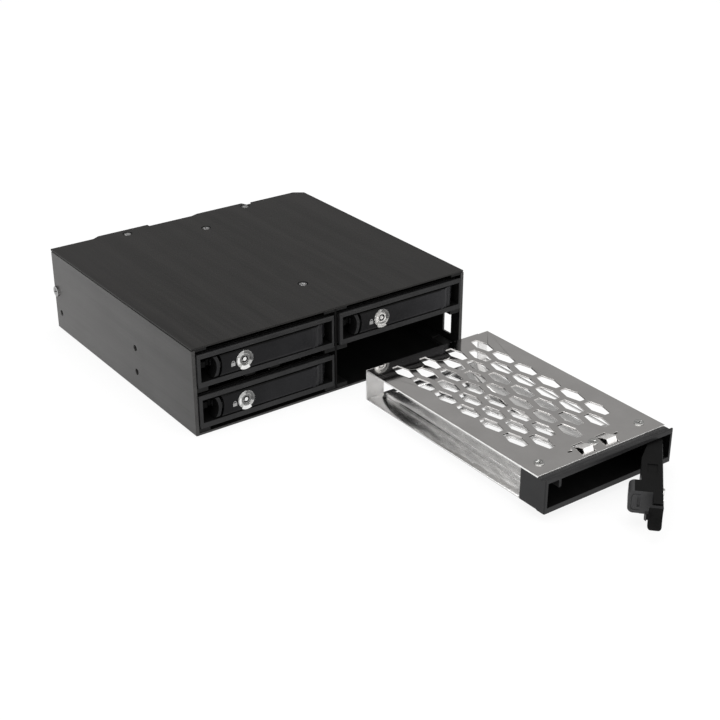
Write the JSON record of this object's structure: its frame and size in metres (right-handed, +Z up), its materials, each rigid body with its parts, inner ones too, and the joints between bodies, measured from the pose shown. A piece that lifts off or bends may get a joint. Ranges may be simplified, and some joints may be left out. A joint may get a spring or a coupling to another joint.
{
  "type": "hot swap drive cage",
  "caption": "Folded steel cage for a half-height bay, with sliding perforated drive trays, swing levers, key locks and sprung thumb catches.",
  "frame": {"origin": "middle of the cage's front lower edge, on the base plane", "axes": "+X to the right seen from the front, +Y from the front towards the rear ports, +Z up"},
  "size_m": [0.1478, 0.3128, 0.0413],
  "materials": {
    "shell_paint": "satin black",
    "cover_paint": "brushed black",
    "rail_plastic": "matte",
    "board": "semi-gloss",
    "connector_plastic": "matte",
    "black_screw": "satin",
    "bright_screw": "polished",
    "polished_steel": "mirror polished",
    "spring_steel": "bright",
    "bezel_plastic": "semi-gloss",
    "trigger_plastic": "satin",
    "lock_chrome": "polished",
    "clear_plastic": "clear"
  },
  "bodies": {
    "cage": {"base_shell": "shell_paint", "top_cover": "cover_paint", "divider": "shell_paint", "guide_rails": "rail_plastic", "rear_plate": "shell_paint", "backplane_board": "board", "drive_sockets": "connector_plastic", "data_ports": "connector_plastic", "power_ports": "connector_plastic", "cover_screws": "black_screw", "side_screws": "black_screw"},
    "tray_1": {"tray_1_top_plate": "polished_steel", "tray_1_floor_plate": "polished_steel", "tray_1_bezel": "bezel_plastic", "tray_1_contact_clip": "spring_steel", "tray_1_screws": "bright_screw", "tray_1_hinge_pin": "spring_steel", "tray_1_light_guides": "clear_plastic"},
    "lever_1": {"tray_1_lever": "bezel_plastic", "tray_1_lock_housing": "lock_chrome"},
    "lock_1": {"tray_1_lock_cylinder": "lock_chrome"},
    "trigger_1": {"tray_1_trigger": "trigger_plastic", "tray_1_trigger_spring": "spring_steel"},
    "tray_2": {"tray_2_top_plate": "polished_steel", "tray_2_floor_plate": "polished_steel", "tray_2_bezel": "bezel_plastic", "tray_2_contact_clip": "spring_steel", "tray_2_screws": "bright_screw", "tray_2_hinge_pin": "spring_steel", "tray_2_light_guides": "clear_plastic"},
    "lever_2": {"tray_2_lever": "bezel_plastic", "tray_2_lock_housing": "lock_chrome"},
    "lock_2": {"tray_2_lock_cylinder": "lock_chrome"},
    "trigger_2": {"tray_2_trigger": "trigger_plastic", "tray_2_trigger_spring": "spring_steel"},
    "tray_3": {"tray_3_top_plate": "polished_steel", "tray_3_floor_plate": "polished_steel", "tray_3_bezel": "bezel_plastic", "tray_3_contact_clip": "spring_steel", "tray_3_screws": "bright_screw", "tray_3_hinge_pin": "spring_steel", "tray_3_light_guides": "clear_plastic"},
    "lever_3": {"tray_3_lever": "bezel_plastic", "tray_3_lock_housing": "lock_chrome"},
    "lock_3": {"tray_3_lock_cylinder": "lock_chrome"},
    "trigger_3": {"tray_3_trigger": "trigger_plastic", "tray_3_trigger_spring": "spring_steel"},
    "tray_4": {"tray_4_top_plate": "polished_steel", "tray_4_floor_plate": "polished_steel", "tray_4_bezel": "bezel_plastic", "tray_4_contact_clip": "spring_steel", "tray_4_screws": "bright_screw", "tray_4_hinge_pin": "spring_steel", "tray_4_light_guides": "clear_plastic"},
    "lever_4": {"tray_4_lever": "bezel_plastic", "tray_4_lock_housing": "lock_chrome"},
    "lock_4": {"tray_4_lock_cylinder": "lock_chrome"},
    "trigger_4": {"tray_4_trigger": "trigger_plastic", "tray_4_trigger_spring": "spring_steel"}
  },
  "joints": [
    {"name": "tray_1_slide", "type": "slide", "parent": "cage", "child": "tray_1", "axis": [0, -1, 0], "range_m": [0, 0.135]},
    {"name": "lever_1_swing", "type": "hinge", "parent": "tray_1", "child": "lever_1", "pos_m": [-0.00875, 0.0023, 0.0301], "axis": [0, 0, 1], "range_deg": [0, 90]},
    {"name": "lock_1_turn", "type": "hinge", "parent": "lever_1", "child": "lock_1", "pos_m": [-0.04825, -0.0011, 0.0304], "axis": [0, -1, 0], "range_deg": [0, 90]},
    {"name": "trigger_1_press", "type": "slide", "parent": "lever_1", "child": "trigger_1", "axis": [1, 0, 0], "range_m": [0, 0.00095], "stiffness_N_per_m": 250},
    {"name": "tray_2_slide", "type": "slide", "parent": "cage", "child": "tray_2", "axis": [0, -1, 0], "range_m": [0, 0.135]},
    {"name": "lever_2_swing", "type": "hinge", "parent": "tray_2", "child": "lever_2", "pos_m": [0.06375, 0.0023, 0.0301], "axis": [0, 0, 1], "range_deg": [0, 90]},
    {"name": "lock_2_turn", "type": "hinge", "parent": "lever_2", "child": "lock_2", "pos_m": [0.02425, -0.0011, 0.0304], "axis": [0, -1, 0], "range_deg": [0, 90]},
    {"name": "trigger_2_press", "type": "slide", "parent": "lever_2", "child": "trigger_2", "axis": [1, 0, 0], "range_m": [0, 0.00095], "stiffness_N_per_m": 250},
    {"name": "tray_3_slide", "type": "slide", "parent": "cage", "child": "tray_3", "axis": [0, -1, 0], "range_m": [0, 0.135]},
    {"name": "lever_3_swing", "type": "hinge", "parent": "tray_3", "child": "lever_3", "pos_m": [-0.00875, 0.0023, 0.0108], "axis": [0, 0, 1], "range_deg": [0, 90]},
    {"name": "lock_3_turn", "type": "hinge", "parent": "lever_3", "child": "lock_3", "pos_m": [-0.04825, -0.0011, 0.0111], "axis": [0, -1, 0], "range_deg": [0, 90]},
    {"name": "trigger_3_press", "type": "slide", "parent": "lever_3", "child": "trigger_3", "axis": [1, 0, 0], "range_m": [0, 0.00095], "stiffness_N_per_m": 250},
    {"name": "tray_4_slide", "type": "slide", "parent": "cage", "child": "tray_4", "axis": [0, -1, 0], "range_m": [-0.135, 0]},
    {"name": "lever_4_swing", "type": "hinge", "parent": "tray_4", "child": "lever_4", "pos_m": [0.06375, -0.1327, 0.0108], "axis": [0, 0, 1], "range_deg": [-43.5, 46.5]},
    {"name": "lock_4_turn", "type": "hinge", "parent": "lever_4", "child": "lock_4", "pos_m": [0.03744, -0.16236, 0.0111], "axis": [0.6884, -0.7254, 0], "range_deg": [0, 90]},
    {"name": "trigger_4_press", "type": "slide", "parent": "lever_4", "child": "trigger_4", "axis": [0.7254, 0.6884, 0], "range_m": [0, 0.00095], "stiffness_N_per_m": 250}
  ]
}
